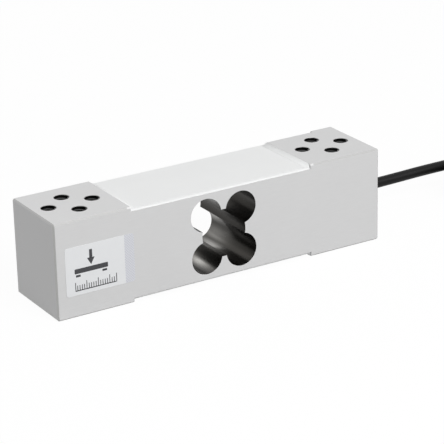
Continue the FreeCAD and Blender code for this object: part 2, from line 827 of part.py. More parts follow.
def build_tail_cores(end, heading):
    """Four cores and the shield's drain wire, fanned out on the far fold of the hank."""
    core, around = value("core_radius"), value("core_bundle_radius")
    level = value(f"{HANK_TOP} + tail_clearance") + core
    reach, turn_in = value("core_fan_reach"), Vector(0, -value("core_fan_turn"), 0)
    outward = Vector(0, 0, 1).cross(heading)
    tips = []
    # Five strands fill the sheath as a pentagon, taken here from one side to the other.
    strands = zip((*CORES, "drain"), (162, 234, 90, 306, 18))
    for number, (name, place_in_sheath) in enumerate(strands):
        turn_to = math.radians(place_in_sheath)
        start = end + outward * (around * math.cos(turn_to))
        start += Vector(0, 0, around * math.sin(turn_to))
        spread = (number / len(CORES) - 0.5) * value("core_fan_width")
        leaves = start + heading * (value("sleeve_overhang") + core)
        middle = end + heading * (value("sleeve_overhang") + reach) + outward * spread * 0.55
        middle.z = level + core
        last = middle + heading * (reach - value("core_stagger") * (number % 2))
        last += outward * spread * 0.45 + turn_in * 0.7
        last.z = level
        points = [start, leaves, middle + turn_in * 0.3, last]
        label = "shield_drain" if name == "drain" else f"tail_core_{name}"
        keep(feature_of(tube(rounded_path(points), core), label), label)
        if name != "drain":
            along = (points[-1] - points[-2]).normalize()
            radius, length = value("tinned_radius"), value("tinned_length")
            tips.append(Part.makeCylinder(radius, length, points[-1], along))
    keep(feature_of(Part.makeCompound(tips), "tinned_tips"), "tinned_tips")


def build_ferrule():
    """A crimped ring on the sheath, which bears on the end wall and takes the pull."""
    ring = cylinder("ferrule_ring", "cable_radius + ferrule_wall", "ferrule_length")
    hollow = cylinder("ferrule_hollow", "cable_radius", "ferrule_length")
    for piece in (ring, hollow):
        place(piece, f"{CHANNEL_END} - ferrule_length", CABLE_ACROSS, CABLE_UP)
        turn(piece, (0, 1, 0), 90)
    return keep(cut_out(ring, [hollow], "cable_ferrule"), "cable_ferrule")


def build_label():
    """A thin printed label on the front of the free end."""
    body = new_body("identity_label")
    sketch = sketch_on(body, "film", "XZ_Plane", "beam_width / 2")
    left = "-beam_length / 2 + label_from_end"
    rectangle(sketch, left, f"{left} + label_length", "label_up", "label_up + label_height")
    film = pad(body, sketch, "label_thickness")
    ends = [value(left), value(f"{left} + label_length")]
    rows = [value("label_up"), value("label_up + label_height")]
    corners = edges_where(
        film,
        lambda p: any(near(p.x, x) for x in ends) and any(near(p.z, z) for z in rows),
    )
    dress(body, "Fillet", film, corners, Radius="label_corner")
    return keep(body, "identity_label")


# ---- make everything ---------------------------------------------------------------------


def build_gauge_side(side):
    """Everything on the flexures of one side, in the order in which it is buried."""
    carriers = [build_carrier(side, end_name) for end_name in ENDS]
    grids = [build_grid(side, end_name) for end_name in ENDS]
    strip = build_strip(side)
    jumpers = build_jumpers(side)
    solder = build_gauge_joints(side, jumpers)
    flat_lead = build_flat_lead(side)
    build_face_potting(side, [*carriers, *grids, strip, jumpers, solder, flat_lead])
    return flat_lead


def build_all():
    build_beam()
    build_label()
    flat_leads = [build_gauge_side(side) for side in SIDES]
    board = build_board()
    components = build_components()
    cores = build_inner_cores()
    solder = build_board_solder(cores)
    ferrule = build_ferrule()
    lead, meet = build_cable_lead()
    buried = [board, *components, *cores, solder, ferrule, lead, *flat_leads]
    build_rear_potting(buried)
    hank = build_hank(meet)
    build_hank_tie()
    build_tail(hank)


def write_all():
    """Checks every object, then writes each sub-part to a file of its own."""
    for thing in doc.Objects:
        if {"Invalid", "Error"} & set(thing.State):
            raise RuntimeError(f"{thing.Label} is {thing.State}: {thing.getStatusString()}")
    for node in nodes:
        if node.Shape.isNull() or not node.Shape.isValid() or not node.Shape.Solids:
            raise RuntimeError(f"{node.Label} has no valid solid")
    os.makedirs("parts", exist_ok=True)
    for node in nodes:
        node.Shape.exportStep(f"parts/{node.Label}.step")
    print(f"{len(nodes)} sub-parts written")


build_all()
doc.recompute()
write_all()
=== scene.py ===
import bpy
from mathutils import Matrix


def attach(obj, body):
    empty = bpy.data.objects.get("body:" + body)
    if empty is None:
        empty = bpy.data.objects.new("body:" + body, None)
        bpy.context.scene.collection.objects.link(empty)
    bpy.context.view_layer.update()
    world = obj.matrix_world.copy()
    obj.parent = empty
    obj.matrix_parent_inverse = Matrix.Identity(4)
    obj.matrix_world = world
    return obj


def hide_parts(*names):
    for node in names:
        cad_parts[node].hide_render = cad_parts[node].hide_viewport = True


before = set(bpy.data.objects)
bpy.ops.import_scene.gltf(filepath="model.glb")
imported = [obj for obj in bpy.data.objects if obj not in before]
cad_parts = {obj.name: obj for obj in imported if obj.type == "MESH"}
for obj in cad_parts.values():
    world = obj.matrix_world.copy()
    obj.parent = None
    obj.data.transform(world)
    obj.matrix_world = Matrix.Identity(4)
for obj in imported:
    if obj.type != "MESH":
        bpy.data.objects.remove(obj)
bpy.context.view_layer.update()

# %% [markdown]
# A single point load cell is a block of aluminium with a hole of four lobes through its middle.
# The thin webs above and below the lobes bend a little under load, and strain gauges glued on
# them measure it. The block itself comes from the CAD model, so this lesson is about the looks:
# machined metal, cast silicone, a printed label, screw threads and a thin black cable.

# %% Tools and the size of the model
import fnmatch
import math

import bmesh
import bpy
from mathutils import Euler, Matrix, Vector

MM = 0.001


def metres(*lengths):
    """Lengths in millimetres, given back as a tuple in metres."""
    return tuple(length * MM for length in lengths)


print("CAD nodes:", len(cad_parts))

# %% [markdown]
# The camera comes first, because everything else is judged through it. It is a long lens, as for
# a catalogue picture: it stands in front and to the left of the block and looks down on it.

# %% Camera
FOCAL_LENGTH_IN_WIDTHS = 4.686
SENSOR_WIDTH = 36
YAW, PITCH, ROLL = 30.89, 21.52, 1.41
CAMERA_AT = (-394.3, -675.2, 326.9)

camera_data = bpy.data.cameras.new("camera")
camera_data.sensor_width = SENSOR_WIDTH
camera_data.lens = FOCAL_LENGTH_IN_WIDTHS * SENSOR_WIDTH
camera = bpy.data.objects.new("camera", camera_data)
bpy.context.scene.collection.objects.link(camera)
aim = Euler((math.radians(90 - PITCH), 0, math.radians(-YAW))).to_matrix()
roll = Matrix.Rotation(math.radians(-ROLL), 3, "Z")
place = Matrix.Translation(Vector(CAMERA_AT) * MM)
camera.matrix_world = place @ (aim @ roll).to_4x4()
bpy.context.scene.camera = camera
print("lens:", round(camera_data.lens, 1), "mm")

# %% [markdown]
# The cable is one curve. Its control points are given: straight out of the end of the
# block, then a neat tied hank of the stored length, and the loose end on top of it. A NURBS curve
# of order three stays close to its points and never kinks. The turns of the hank are worked out
# in a loop, column by column, as a machine would wind them.

# %% Route of the cable
CABLE_RADIUS = 2.3
EXIT = (75, 14.2, 10.4)
# The curve starts inside the block, just before the ferrule, and goes straight out of it.
START_AT, STRAIGHT_TO = 57, 78
HANK_START = (148, -6.2)
HANK_RUN = 92
# The middle line of each column of turns, from the outside in, and of each layer from below.
COLUMNS = [18.6, 14]
LAYERS = [2.8, 7.4, 12]
WINDING = [(0, 2), (0, 1), (0, 0), (1, 0), (1, 1), (1, 2)]
FOLD_STEP = 20
FOLD_STEPS = 9
# A curve of order three runs inside its control points by this share where it goes round.
SHRINK = (3 + math.cos(math.radians(FOLD_STEP))) / 4


def on_hank(along, across, up):
    """A point reckoned from the middle of the nearer fold of the hank, in millimetres."""
    return (HANK_START[0] + along, HANK_START[1] + across, up)


route = [(START_AT, *EXIT[1:]), (STRAIGHT_TO, *EXIT[1:]), (108, 13.05, 11.41)]
route += [on_hank(along, COLUMNS[0], LAYERS[2]) for along in (-29.5, -14.5)]
print("points before the hank:", len(route))


# %% Turns of the hank
def half_circle(middle, start_angle, radius, up):
    """Points round a fold, clockwise from above, with the straight runs' ends left out."""
    angles = [math.radians(start_angle - FOLD_STEP * (k + 0.5)) for k in range(FOLD_STEPS)]
    reach = radius / SHRINK
    return [on_hank(middle + reach * math.cos(a), reach * math.sin(a), up) for a in angles]


def far_run_and_fold(radius, up):
    """The run away from the block, and the fold at its end."""
    run = [on_hank(HANK_RUN * share, radius, up) for share in (0, 0.3, 0.7, 1)]
    return run + half_circle(HANK_RUN, 90, radius, up)


for (column, layer), (next_column, next_layer) in zip(WINDING, WINDING[1:]):
    radius, up = COLUMNS[column], LAYERS[layer]
    new_radius, new_up = COLUMNS[next_column], LAYERS[next_layer]
    route += far_run_and_fold(radius, up)
    # A turn changes layer before it changes column, so that it never cuts through the next.
    route += [on_hank(HANK_RUN * share, -radius, up) for share in (1, 0.8)]
    route += [on_hank(HANK_RUN * share, -radius, new_up) for share in (0.55, 0.35)]
    route += [on_hank(0, -new_radius, new_up)]
    route += half_circle(0, -90, new_radius, new_up)
print("points with the turns:", len(route))

# %% The last turn and the loose end on top
ON_TOP = 17.2
FOLD_ON_TOP = 16.9
LOOSE_END = ((14, 16.4), (31, 16.8), (48, 16.3), (64, 16.6), (80, 15.4))
inner, upper = COLUMNS[-1], LAYERS[-1]
route += far_run_and_fold(inner, upper)
route += [on_hank(along, -inner, upper) for along in (HANK_RUN, 65, 44, 33)]
route += [on_hank(14, -16, ON_TOP)]
for degrees in range(-90, -300, -30):
    turn = math.radians(degrees)
    route.append(on_hank(FOLD_ON_TOP * math.cos(turn), FOLD_ON_TOP * math.sin(turn), ON_TOP))
route += [on_hank(along, across, ON_TOP) for along, across in LOOSE_END]
print("points on the cable:", len(route))

# %% Curve of the cable
curve = bpy.data.curves.new("signal_cable", "CURVE")
curve.dimensions = "3D"
spline = curve.splines.new("NURBS")
spline.points.add(len(route) - 1)
for point, spot in zip(spline.points, route):
    point.co = (*metres(*spot), 1)
    point.radius = CABLE_RADIUS * MM
spline.order_u = 3
spline.use_endpoint_u = True
spline.resolution_u = 4
curve.bevel_depth = 1  # the points' radius, in metres, sets the thickness
curve.bevel_resolution = 5
curve.use_fill_caps = True
cable = bpy.data.objects.new("signal_cable", curve)
bpy.context.scene.collection.objects.link(cable)
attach(cable, "root")
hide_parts("cable_lead", "cable_hank", "cable_tail")
on_the_cable = ["hank_tie", "tail_sleeve", "shield_drain", "tinned_tips"]
on_the_cable += [f"tail_core_{colour}" for colour in ("red", "black", "green", "white")]
print("pieces on the cable:", on_the_cable)

# %% [markdown]
# A material is a tree of nodes. A few short helpers add a node, join its sockets and reckon with
# them, so that the cells below say what a surface does and not how its nodes are wired.

# %% Node helpers
def new_material(name):
    """An empty material with its tree and its Principled shader."""
    material = bpy.data.materials.new(name)
    material.use_nodes = True
    tree = material.node_tree
    return material, tree, tree.nodes["Principled BSDF"]


def node(tree, kind, **settings):
    """Adds a node; names of inputs are set by value, names of properties as they are."""
    made = tree.nodes.new(kind)
    for name, value in settings.items():
        if hasattr(made, name):
            setattr(made, name, value)
        else:
            made.inputs[name.replace("_", " ")].default_value = value
    return made


def link(tree, *pairs):
    """Links outputs to inputs, given as pairs of sockets."""
    for start, end in pairs:
        tree.links.new(start, end)


def feed(tree, given, socket):
    """Fills an input from a socket, a number or the three numbers of a colour."""
    if isinstance(given, bpy.types.NodeSocket):
        tree.links.new(given, socket)
    else:
        socket.default_value = (*given, 1) if isinstance(given, tuple) else given


def calc(tree, operation, first, *others):
    """A math node on sockets or plain numbers; more than two are taken one after another."""
    for second in others or (0,):
        made = node(tree, "ShaderNodeMath", operation=operation)
        feed(tree, first, made.inputs[0])
        feed(tree, second, made.inputs[1])
        first = made.outputs[0]
    return first


# %% [markdown]
# The floor and the backdrop are the same near white, so the block stands in a bright studio with
# no horizon. For the camera, and in reflections, they glow and come out white. A little of the
# lit floor is mixed in, which keeps a faint shadow under the block. The light that falls on
# things from all round is weaker than that glow, so that the lamps still give the block its form.

# %% Floor and world
WHITE = (1, 1, 1, 1)
SHADOW_SHARE = 0.12
FLOOR_ALBEDO = 0.35
FLOOR_GLOW = 1.09
AMBIENT = 0.35


def seen_directly(tree):
    """1 for camera, glossy and transmission rays, 0 for the light that falls on things."""
    path = tree.nodes.new("ShaderNodeLightPath")
    rays = [path.outputs[f"Is {ray} Ray"] for ray in ("Camera", "Glossy", "Transmission")]
    return calc(tree, "MAXIMUM", *rays)


bpy.ops.mesh.primitive_plane_add(size=8, location=metres(0, 0, -0.2))
floor = bpy.context.object
floor.name = "floor"
floor_material, tree, shader = new_material("studio_floor")
shader.inputs["Base Color"].default_value = (FLOOR_ALBEDO, FLOOR_ALBEDO, FLOOR_ALBEDO, 1)
shader.inputs["Roughness"].default_value = 1
shader.inputs["Specular IOR Level"].default_value = 0
glow = node(tree, "ShaderNodeEmission", Color=WHITE, Strength=FLOOR_GLOW)
blend = tree.nodes.new("ShaderNodeMixShader")
link(
    tree,
    (calc(tree, "MULTIPLY", seen_directly(tree), 1 - SHADOW_SHARE), blend.inputs["Fac"]),
    (shader.outputs[0], blend.inputs[1]),
    (glow.outputs[0], blend.inputs[2]),
    (blend.outputs[0], tree.nodes["Material Output"].inputs["Surface"]),
)
floor.data.materials.append(floor_material)

world = bpy.data.worlds.new("studio")
bpy.context.scene.world = world
world.use_nodes = True
tree = world.node_tree
sky = tree.nodes["Background"]
sky.inputs["Color"].default_value = WHITE
level = node(tree, "ShaderNodeMapRange", To_Min=AMBIENT, To_Max=1)
link(
    tree,
    (seen_directly(tree), level.inputs["Value"]),
    (level.outputs["Result"], sky.inputs["Strength"]),
)
print("floor and world:", floor.name, world.name)

# %% [markdown]
# Three large soft lamps shape the block: a key in front that lights the face with the label, a
# weak one from above, and a fill from behind that reaches into the cut-out.

# %% Lamps
LIT_POINT = Vector((0, 0, 20)) * MM


def softbox(name, spot, size, watts):
    """A square lamp that faces the middle of the block; its spot is in millimetres."""
    data = bpy.data.lights.new(name, "AREA")
    data.size = size
    data.energy = watts
    lamp = bpy.data.objects.new(name, data)
    bpy.context.scene.collection.objects.link(lamp)
    spot = Vector(spot) * MM
    turn = (spot - LIT_POINT).to_track_quat("Z", "Y").to_matrix().to_4x4()
    lamp.matrix_world = Matrix.Translation(spot) @ turn
    print("lamp:", name, watts, "W")


softbox("key", (150, -930, 760), size=0.7, watts=11.2)
softbox("top", (200, 300, 1200), size=0.9, watts=0.6)
softbox("fill", (-100, 1000, 350), size=0.8, watts=1.7)
bpy.context.scene.view_settings.view_transform = "Standard"

# %% [markdown]
# Almost every finish here has the same grain, so it is a node group that is built once. It gives
# fine and broad spots, and stretched along one axis the fine ones become streaks, as a milling
# cutter or a die leaves them. The group gives out only values that change over the surface, and
# the Principled shader stays in the material.

# %% Group: grain
def new_group(name, inputs, outputs):
    """A shader node group with number inputs and number outputs."""
    group = bpy.data.node_groups.new(name, "ShaderNodeTree")
    for label, start in inputs.items():
        kind = "NodeSocketVector" if label == "Vector" else "NodeSocketFloat"
        socket = group.interface.new_socket(name=label, in_out="INPUT", socket_type=kind)
        if kind == "NodeSocketFloat":
            socket.default_value = start
    for label in outputs:
        group.interface.new_socket(name=label, in_out="OUTPUT", socket_type="NodeSocketFloat")
    return group, group.nodes.new("NodeGroupInput"), group.nodes.new("NodeGroupOutput")


grain, given, result = new_group(
    "grain", {"Vector": None, "Scale": 900, "Detail": 3, "Along": 1, "Up": 1}, ["Fine", "Broad"]
)
stretch = node(grain, "ShaderNodeCombineXYZ", Y=1)
scaled = node(grain, "ShaderNodeVectorMath", operation="MULTIPLY")
fine = grain.nodes.new("ShaderNodeTexNoise")
broad = node(grain, "ShaderNodeTexNoise", Scale=45, Detail=2)
link(
    grain,
    (given.outputs["Along"], stretch.inputs["X"]),
    (given.outputs["Up"], stretch.inputs["Z"]),
    (given.outputs["Vector"], scaled.inputs[0]),
    (stretch.outputs["Vector"], scaled.inputs[1]),
    (scaled.outputs["Vector"], fine.inputs["Vector"]),
    (given.outputs["Vector"], broad.inputs["Vector"]),
    (given.outputs["Scale"], fine.inputs["Scale"]),
    (given.outputs["Detail"], fine.inputs["Detail"]),
    (fine.outputs["Fac"], result.inputs["Fine"]),
    (broad.outputs["Fac"], result.inputs["Broad"]),
)
print("node group:", grain.name)

# %% A material with grain
ROUGHNESS_SPREAD = 0.06
GRAIN_DEPTH = 0.1 * MM


def finish(name, dark, light, rough, bump=0.05, scale=900, along=1, up=1, metallic=0, broad=0.3):
    """Colours between dark and light follow the grain; so do the roughness and a small bump."""
    material, tree, shader = new_material(name)
    where = tree.nodes.new("ShaderNodeTexCoord")
    group = node(tree, "ShaderNodeGroup", node_tree=grain, Scale=scale, Along=along, Up=up)
    mixed = node(tree, "ShaderNodeMix", data_type="FLOAT")
    mixed.inputs["Factor"].default_value = broad
    colour = node(tree, "ShaderNodeMix", data_type="RGBA", clamp_factor=True)
    colour.inputs["A"].default_value = (*dark, 1)
    colour.inputs["B"].default_value = (*light, 1)
    lowest, highest = rough - ROUGHNESS_SPREAD, rough + ROUGHNESS_SPREAD
    roughness = node(tree, "ShaderNodeMapRange", To_Min=lowest, To_Max=highest)
    relief = node(tree, "ShaderNodeBump", Strength=bump, Distance=GRAIN_DEPTH)
    link(
        tree,
        (where.outputs["Object"], group.inputs["Vector"]),
        (group.outputs["Fine"], mixed.inputs["A"]),
        (group.outputs["Broad"], mixed.inputs["B"]),
        (mixed.outputs["Result"], colour.inputs["Factor"]),
        (colour.outputs["Result"], shader.inputs["Base Color"]),
        (group.outputs["Fine"], roughness.inputs["Value"]),
        (roughness.outputs["Result"], shader.inputs["Roughness"]),
        (group.outputs["Fine"], relief.inputs["Height"]),
        (relief.outputs["Normal"], shader.inputs["Normal"]),
    )
    shader.inputs["Metallic"].default_value = metallic
    return material


def dress(material, *names):
    """Gives CAD nodes this one material."""
    for name in names:
        slots = bpy.data.objects[name].data.materials
        slots.clear()
        slots.append(material)
    print(material.name, "on", names)


# %% [markdown]
# A mask is a value that is 1 on one part of a surface and 0 on the rest. Masks are made from the
# position of a point and from the way its surface faces, and they tell which colour goes where.

# %% Masks and what they mix
FLAT_ENOUGH = 0.93


def split(tree, coordinate):
    """The parts X, Y and Z of a texture coordinate: Object is the place, Normal the facing."""
    parts = tree.nodes.new("ShaderNodeSeparateXYZ")
    link(tree, (tree.nodes["Texture Coordinate"].outputs[coordinate], parts.inputs[0]))
    return parts.outputs


def every(tree, *masks):
    """1 where all the masks are 1."""
    return calc(tree, "MULTIPLY", *masks)


def between_faces(tree, facing):
    """1 on chamfers and fillets, whose normals are between those of the flat faces."""
    sizes = [calc(tree, "ABSOLUTE", facing[axis]) for axis in "XYZ"]
    return calc(tree, "LESS_THAN", calc(tree, "MAXIMUM", *sizes), FLAT_ENOUGH)


def wave(tree, value, pitch):
    """A sine that repeats once in every pitch, in millimetres."""
    return calc(tree, "SINE", calc(tree, "MULTIPLY", value, math.tau / (pitch * MM)))


def blend_colour(tree, mask, below, above):
    """One colour over another where a mask is 1; each is a socket or three numbers."""
    mixed = node(tree, "ShaderNodeMix", data_type="RGBA")
    tree.links.new(mask, mixed.inputs["Factor"])
    feed(tree, below, mixed.inputs["A"])
    feed(tree, above, mixed.inputs["B"])
    return mixed.outputs["Result"]


def blend_value(tree, mask, below, above):
    """The same for two numbers."""
    return calc(tree, "ADD", calc(tree, "MULTIPLY", mask, above - below), below)


def paint(tree, mask, colour):
    """Lays a colour over the material's own where a mask is 1."""
    base = tree.nodes["Principled BSDF"].inputs["Base Color"]
    link(tree, (blend_colour(tree, mask, base.links[0].from_socket, colour), base))


# %% [markdown]
# The block's faces are milled, even and matt. Light hardly gets into the cut-out and the holes, so
# their walls are painted dark, as painted shade; soft bright patches of painted highlight, with
# streaks in them, lie on the cut-out's walls. The chamfers at the ends are painted a little darker
# than the faces beside them: painted shade.

# %% Aluminium
# Sizes are in millimetres; the cut-out and the holes are reached from the middle of the block.
BLOCK_HEIGHT = 40
OPENING_HALF_LONG, OPENING_HALF_HIGH = 16.3, 17.2
DIAMOND_CENTRE, DIAMOND_ALONG, DIAMOND_ACROSS, HOLE_WALL = 58.5, 9.5, 7.5, 3.06
CHAMFERS_FROM = 43
FACE_METALLIC, WALL_METALLIC = 0.3, 0.9

aluminium = finish(
    "machined_aluminium",
    (0.615, 0.615, 0.617),
    (0.675, 0.675, 0.676),
    rough=0.5,
    bump=0.08,
    scale=1900,
    along=0.12,
    metallic=FACE_METALLIC,
)
tree = aluminium.node_tree
spot, facing = split(tree, "Object"), split(tree, "Normal")
x_size, y_size = (calc(tree, "ABSOLUTE", spot[axis]) for axis in "XY")
from_middle = calc(tree, "SUBTRACT", spot["Z"], BLOCK_HEIGHT / 2 * MM)
in_opening = every(
    tree,
    calc(tree, "LESS_THAN", x_size, OPENING_HALF_LONG * MM),
    calc(tree, "LESS_THAN", calc(tree, "ABSOLUTE", from_middle), OPENING_HALF_HIGH * MM),
    calc(tree, "LESS_THAN", calc(tree, "ABSOLUTE", facing["Y"]), 0.5),
)
beside = calc(tree, "ABSOLUTE", calc(tree, "SUBTRACT", x_size, DIAMOND_CENTRE * MM))


def near_axis(along, across):
    """1 inside the wall of the tapped holes at that place in the diamond."""
    dx = calc(tree, "SUBTRACT", beside, along * MM)
    dy = calc(tree, "SUBTRACT", y_size, across * MM)
    squares = [calc(tree, "MULTIPLY", d, d) for d in (dx, dy)]
    return calc(tree, "LESS_THAN", calc(tree, "ADD", *squares), (HOLE_WALL * MM) ** 2)


in_hole = calc(tree, "MAXIMUM", near_axis(DIAMOND_ALONG, 0), near_axis(0, DIAMOND_ACROSS))
at_the_ends = calc(tree, "GREATER_THAN", x_size, CHAMFERS_FROM * MM)
on_chamfer = every(tree, between_faces(tree, facing), at_the_ends)
print("aluminium nodes so far:", len(tree.nodes))

# %% Painted shade on the inner walls and the chamfers, painted highlights in the cut-out
CHAMFER_PAINTED_SHADE = (0.47, 0.47, 0.465)
WALL_PAINTED_SHADE, WALL_PAINTED_GLINT = (0.021, 0.019, 0.016), (0.5, 0.49, 0.47)
HOLE_PAINTED_SHADE = (0.008, 0.008, 0.008)
SMOOTHER = 0.25
STREAKS_SHORTER, STREAKS_FROM, STREAKS_TO, STREAKS_LEAST = 0.22, 0.4, 0.62, 0.45
GLINT_LONGER, GLINT_FADE = 4, 0.3
# Painted highlights, glints on the cut-out's walls: along, across and up from the middle, then
# reach and strength.
GLINT_PLACES = [
    (0, -7, -10, 2, 1),
    (-5.1, -5, -15.3, 2.3, 0.8),
    (7.8, 8, -16, 2.6, 0.9),
    (14, 13, -12.4, 2.6, 0.6),
    (14.5, 17, -6, 2.6, 0.5),
]

# Uneven streaks in the painted highlights, along the bore's axis, which is Y.
glint_streaks = node(tree, "ShaderNodeGroup", node_tree=grain, Scale=190, Detail=1)
shorter = node(tree, "ShaderNodeVectorMath", operation="MULTIPLY")
shorter.inputs[1].default_value = (1, STREAKS_SHORTER, 1)
streaks = node(
    tree, "ShaderNodeMapRange", From_Min=STREAKS_FROM, From_Max=STREAKS_TO, To_Min=STREAKS_LEAST
)
link(
    tree,
    (tree.nodes["Texture Coordinate"].outputs["Object"], shorter.inputs[0]),
    (shorter.outputs[0], glint_streaks.inputs["Vector"]),
    (glint_streaks.outputs["Fine"], streaks.inputs["Value"]),
)


def painted_glint(along, across, up, reach, strength):
    """A painted highlight, a soft bright patch longest along Y; it fades with the square of the
    distance.
    """
    away = 0
    places = (along, across, BLOCK_HEIGHT / 2 + up)
    for axis, at, size in zip("XYZ", places, (reach, GLINT_LONGER * reach, reach)):
        off = calc(tree, "DIVIDE", calc(tree, "SUBTRACT", spot[axis], at * MM), size * MM)
        away = calc(tree, "ADD", calc(tree, "MULTIPLY", off, off), away)
    return calc(tree, "MULTIPLY", calc(tree, "POWER", GLINT_FADE, away), strength)


painted_glints = calc(tree, "MAXIMUM", *[painted_glint(*patch) for patch in GLINT_PLACES])
painted_glints = every(tree, painted_glints, streaks.outputs["Result"])
# The cut-out's walls: painted shade, with painted highlights on the patches.
wall = blend_colour(tree, painted_glints, WALL_PAINTED_SHADE, WALL_PAINTED_GLINT)
# The chamfers at the ends are painted darker: painted shade that tones down the light they catch.
paint(tree, on_chamfer, CHAMFER_PAINTED_SHADE)
paint(tree, in_opening, wall)
# The tapped holes are painted nearly black: painted shade.
paint(tree, in_hole, HOLE_PAINTED_SHADE)
shader = tree.nodes["Principled BSDF"]
shaded = calc(tree, "MAXIMUM", in_opening, in_hole)
roughness = shader.inputs["Roughness"].links[0].from_socket
drop = calc(tree, "MULTIPLY", in_opening, -SMOOTHER)
link(
    tree,
    (blend_value(tree, shaded, FACE_METALLIC, WALL_METALLIC), shader.inputs["Metallic"]),
    (calc(tree, "ADD", roughness, drop), shader.inputs["Roughness"]),
)
dress(aluminium, "load_cell_beam")

# %% [markdown]
# The silicone is poured into the recesses as a liquid and levels itself, so it is smooth and
# slightly uneven, and brighter than the metal. Its rounded rims along the front and the back are
# painted a little greyer than the middle: painted shade where they curve away from the light.

# %% Silicone
RIM_PAINTED_SHADE = (0.77, 0.777, 0.775)
RIMS_FROM = 16

silicone = finish(
    "white_silicone",
    (0.84, 0.848, 0.846),
    (0.9, 0.908, 0.906),
    rough=0.4,
    bump=0.15,
    scale=120,
    broad=0.6,
)
tree = silicone.node_tree
off_centre = calc(tree, "ABSOLUTE", split(tree, "Object")["Y"])
at_the_edge = calc(tree, "GREATER_THAN", off_centre, RIMS_FROM * MM)
rim = every(tree, between_faces(tree, split(tree, "Normal")), at_the_edge)
# The rounded rims get painted shade.
paint(tree, rim, RIM_PAINTED_SHADE)
dress(silicone, "top_potting", "bottom_potting", "rear_potting")

# %% [markdown]
# The cable's sheath is smooth black plastic, drawn through a die, so it has almost no grain and a
# soft shine. The hank, the loose end and the shrink sleeve on it share the finish.

# %% Sheath
sheath = finish(
    "black_sheath", (0.003, 0.003, 0.003), (0.007, 0.007, 0.007), rough=0.42, bump=0.04, scale=500
)
sheath.node_tree.nodes["Principled BSDF"].inputs["Specular IOR Level"].default_value = 0.16
cable.data.materials.append(sheath)
dress(sheath, "tail_sleeve")

# %% [markdown]
# The small parts under the silicone and at the cable's end have finishes of their own: amber
# film and foil for the gauges, green laminate and dark ceramic for the board, bright solder.
# One table holds them, because they differ only in colour, roughness and how metallic they are.

# %% Finishes of the small parts
FILM = ("gauge_carrier_*", "solder_strip_*")
SOLDER = ("gauge_solder_*", "board_solder")
WIRES = ("jumper_wires_*", "shield_drain", "tinned_tips")
RESISTORS = ("span_resistor", "zero_trim_resistor", "nickel_compensator")
# The darkest and the lightest colour, the roughness, how metallic, and the CAD nodes that wear it.
SMALL_PARTS = {
    "polyimide_film": ((0.5, 0.26, 0.05), (0.62, 0.36, 0.09), 0.35, 0, FILM),
    "constantan_foil": ((0.5, 0.33, 0.2), (0.62, 0.42, 0.27), 0.3, 1, ["gauge_grid_*"]),
    "solder": ((0.5, 0.5, 0.5), (0.66, 0.66, 0.65), 0.22, 1, SOLDER),
    "tinned_copper": ((0.5, 0.49, 0.46), (0.64, 0.62, 0.58), 0.3, 1, WIRES),
    "flat_lead_sheath": ((0.25, 0.25, 0.27), (0.31, 0.31, 0.33), 0.5, 0, ["flat_lead_*"]),
    "board_laminate": ((0.01, 0.1, 0.03), (0.02, 0.15, 0.05), 0.4, 0, ["compensation_board"]),
    "component_ceramic": ((0.012, 0.012, 0.012), (0.03, 0.03, 0.03), 0.45, 0, RESISTORS),
    "core_red": ((0.42, 0.01, 0.01), (0.5, 0.016, 0.014), 0.35, 0, ["*_core_red"]),
    "core_black": ((0.008, 0.008, 0.008), (0.016, 0.016, 0.016), 0.35, 0, ["*_core_black"]),
    "core_green": ((0.008, 0.17, 0.03), (0.014, 0.22, 0.045), 0.35, 0, ["*_core_green"]),
    "core_white": ((0.7, 0.7, 0.68), (0.78, 0.78, 0.76), 0.35, 0, ["*_core_white"]),
    "ferrule_brass": ((0.5, 0.35, 0.12), (0.6, 0.44, 0.17), 0.3, 1, ["cable_ferrule"]),
}
for name, (dark, light, rough, metallic, patterns) in SMALL_PARTS.items():
    made = finish(name, dark, light, rough, bump=0.06, scale=1200, metallic=metallic)
    wearers = [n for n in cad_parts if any(fnmatch.fnmatch(n, p) for p in patterns)]
    dress(made, *wearers)

# %% [markdown]
# The tie is a strip of hook-and-loop fabric. Its short loops are far too fine to model, so rows
# of them are drawn as bumps that repeat along the strip and across it.

# %% Fabric of the tie
LOOP_PITCH = 0.5
fabric = finish(
    "tie_fabric", (0.012, 0.012, 0.014), (0.035, 0.035, 0.04), rough=0.9, bump=0.4, scale=1800
)
tree = fabric.node_tree
spot = split(tree, "Object")
rows = wave(tree, spot["X"], LOOP_PITCH)
loops = wave(tree, calc(tree, "ADD", spot["Y"], spot["Z"]), LOOP_PITCH)
link(tree, (calc(tree, "MULTIPLY", rows, loops), tree.nodes["Bump"].inputs["Height"]))
dress(fabric, "hank_tie")

# %% [markdown]
# New pieces are made from primitives and shaped in edit mode. Four tools do what every piece
# needs: start on it with its size applied, pick parts of it by their place, end with its normals
# outward and its finish on, and copy or join finished pieces.

# %% Tools for modelling
NEAR = 0.01


def start_shaping(name):
    """Turns to edit mode on the new primitive with nothing selected."""
    piece = bpy.context.object
    piece.name = piece.data.name = name
    bpy.ops.object.transform_apply(location=True, rotation=True, scale=True)
    bpy.ops.object.mode_set(mode="EDIT")
    bpy.ops.mesh.select_all(action="DESELECT")
    return piece


def pick(piece, kind, wanted):
    """In edit mode, selects the edges or faces whose middle, in mm, passes a test."""
    bpy.ops.mesh.select_mode(type={"edges": "EDGE", "faces": "FACE"}[kind])
    bpy.ops.mesh.select_all(action="DESELECT")
    shape = bmesh.from_edit_mesh(piece.data)
    for part in getattr(shape, kind):
        middle = sum((v.co for v in part.verts), Vector()) / len(part.verts) / MM
        if wanted(middle):
            part.select_set(True)
    shape.select_flush_mode()
    bmesh.update_edit_mesh(piece.data)


